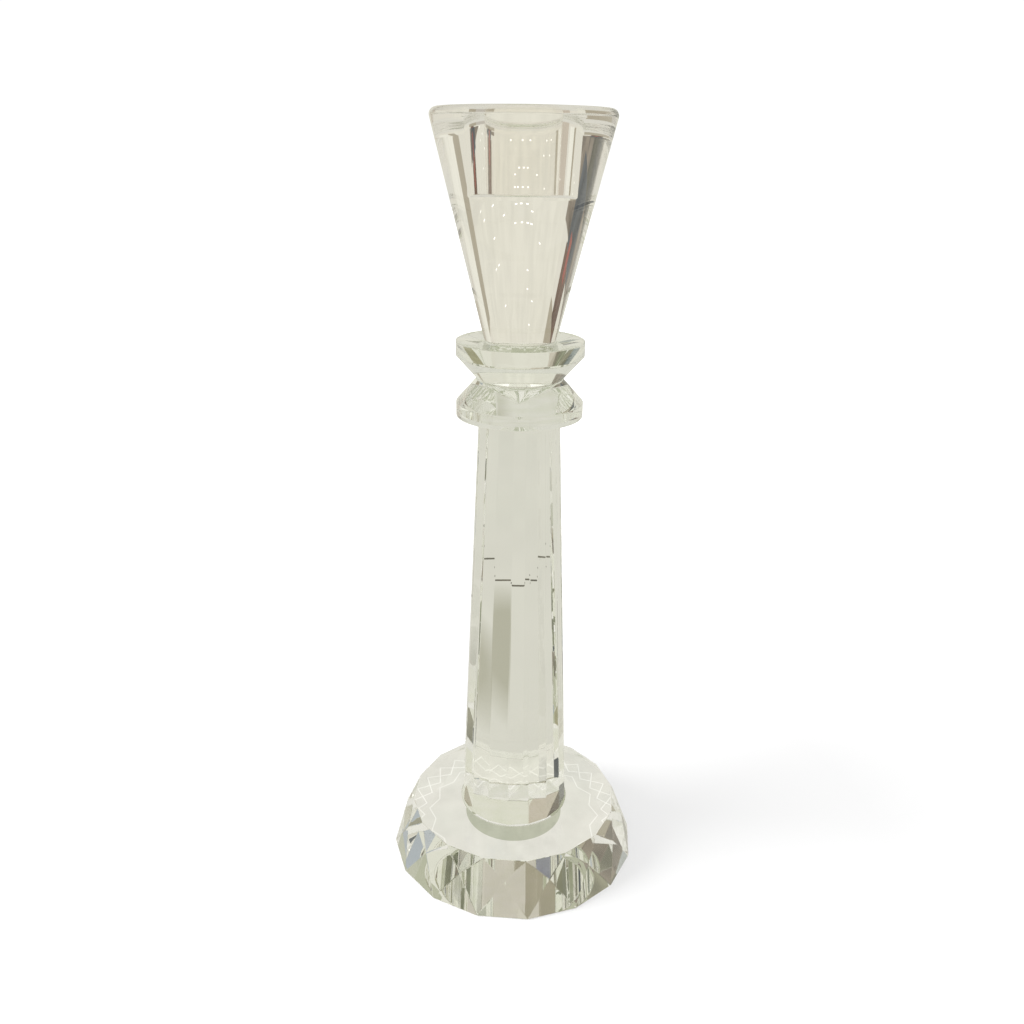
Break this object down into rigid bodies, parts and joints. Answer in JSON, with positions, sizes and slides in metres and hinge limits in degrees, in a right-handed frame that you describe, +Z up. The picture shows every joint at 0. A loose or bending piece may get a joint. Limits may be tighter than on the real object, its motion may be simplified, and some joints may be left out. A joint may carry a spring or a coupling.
{
  "type": "glass candlestick",
  "caption": "Tall cut-crystal candlestick: facetted round foot, many-sided tapered stem, two neck-to-neck collars and a solid conical cup with a round candle socket.",
  "frame": {"origin": "centre of the foot's underside, on the surface it stands on", "axes": "+Z up along the candlestick's axis, -Y towards the front"},
  "size_m": [0.0866, 0.0866, 0.25],
  "materials": {
    "foot_glass": "polished clear crystal with a faint warm grey-green tint",
    "stem_glass": "polished clear crystal with a faint warm grey-green tint",
    "lower_collar_glass": "polished clear crystal with a faint warm grey-green tint",
    "upper_collar_glass": "polished clear crystal with a faint warm grey-green tint",
    "cup_glass": "polished clear crystal with a faint warm grey-green tint",
    "clear_adhesive": "clear cured adhesive film"
  },
  "bodies": {
    "root": {"foot": "foot_glass", "stem": "stem_glass", "lower_collar": "lower_collar_glass", "upper_collar": "upper_collar_glass", "cup": "cup_glass", "foot_bond": "clear_adhesive", "neck_bond": "clear_adhesive", "waist_bond": "clear_adhesive", "cup_bond": "clear_adhesive"}
  },
  "joints": []
}
